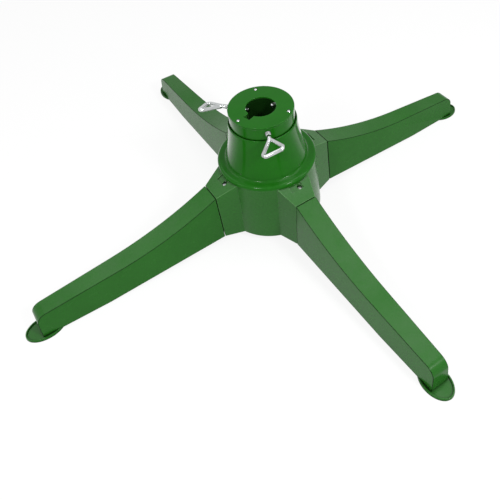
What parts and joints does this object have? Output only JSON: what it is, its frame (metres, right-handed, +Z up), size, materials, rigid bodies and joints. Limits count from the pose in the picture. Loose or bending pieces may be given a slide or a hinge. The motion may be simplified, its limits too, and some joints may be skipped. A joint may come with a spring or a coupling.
{
  "type": "rotating tree stand",
  "caption": "Tree stand with a hub on bolted channel legs; a motor turns its socket, in which radial screws clamp the trunk pole.",
  "frame": {"origin": "on the floor below the turntable's axis", "axes": "+Z up along the turntable's axis; the four legs lie along +X, +Y, -X and -Y"},
  "size_m": [0.7276, 0.7276, 0.1833],
  "materials": {
    "green_top": "gloss",
    "green_body": "gloss",
    "green_leg": "gloss",
    "zinc": "zinc plated",
    "spring_steel": "blued",
    "tube_steel": "satin",
    "bearing_steel": "polished",
    "chrome_rod": "polished",
    "gear_nylon": "satin",
    "brass_cage": "satin",
    "motor_steel": "zinc plated",
    "black_plate": "matte",
    "black_rubber": "matte"
  },
  "bodies": {
    "base": {"hub_body": "green_body", "bell_cover": "green_body", "cover_screws": "zinc", "top_bush": "gear_nylon", "base_plate": "black_plate", "base_screws": "zinc", "lower_race": "bearing_steel", "gear_case": "motor_steel", "motor_can": "motor_steel", "motor_bracket": "motor_steel", "motor_screws": "zinc", "bracket_screws": "zinc", "cord_grommet": "black_rubber", "leg_screws": "zinc", "leg_left": "green_leg", "leg_front": "green_leg", "leg_right": "green_leg", "leg_back": "green_leg", "foot_left": "green_leg", "foot_front": "green_leg", "foot_right": "green_leg", "foot_back": "green_leg", "foot_screws": "zinc"},
    "turntable": {"top_plate": "green_top", "plate_screws": "zinc", "collar": "green_top", "clamp_nuts": "zinc", "snap_ring": "spring_steel", "pole_tube": "tube_steel", "main_gear": "gear_nylon", "gear_screws": "zinc", "upper_race": "bearing_steel"},
    "ball_set": {"bearing_balls": "bearing_steel", "ball_cage": "brass_cage"},
    "pinion": {"drive_pinion": "brass_cage", "motor_shaft": "zinc"},
    "front_screw": {"clamp_screw_front": "chrome_rod"},
    "left_screw": {"clamp_screw_left": "chrome_rod"},
    "inner_screw": {"set_screw": "chrome_rod"}
  },
  "joints": [
    {"name": "turntable_spin", "type": "hinge", "parent": "base", "child": "turntable", "pos_m": [0, 0, 0.0296], "axis": [0, 0, 1], "continuous": true},
    {"name": "ball_set_spin", "type": "hinge", "parent": "base", "child": "ball_set", "pos_m": [0, 0, 0.0221], "axis": [0, 0, 1], "continuous": true},
    {"name": "pinion_spin", "type": "hinge", "parent": "base", "child": "pinion", "pos_m": [-0.03182, -0.03182, 0.0336], "axis": [0, 0, 1], "continuous": true},
    {"name": "front_screw_feed", "type": "slide", "parent": "turntable", "child": "front_screw", "axis": [-0.3649, -0.9311, 0], "range_m": [-0.006, 0.005]},
    {"name": "left_screw_feed", "type": "slide", "parent": "turntable", "child": "left_screw", "axis": [-0.6239, 0.7815, 0], "range_m": [-0.006, 0.005]},
    {"name": "set_screw_feed", "type": "slide", "parent": "turntable", "child": "inner_screw", "axis": [0.9888, 0.1495, 0], "range_m": [-0.006, 0.005]}
  ],
  "couplings": [
    {"joint": "ball_set_spin", "follows": "turntable_spin", "ratio": 0.5},
    {"joint": "pinion_spin", "follows": "turntable_spin", "ratio": -3}
  ]
}
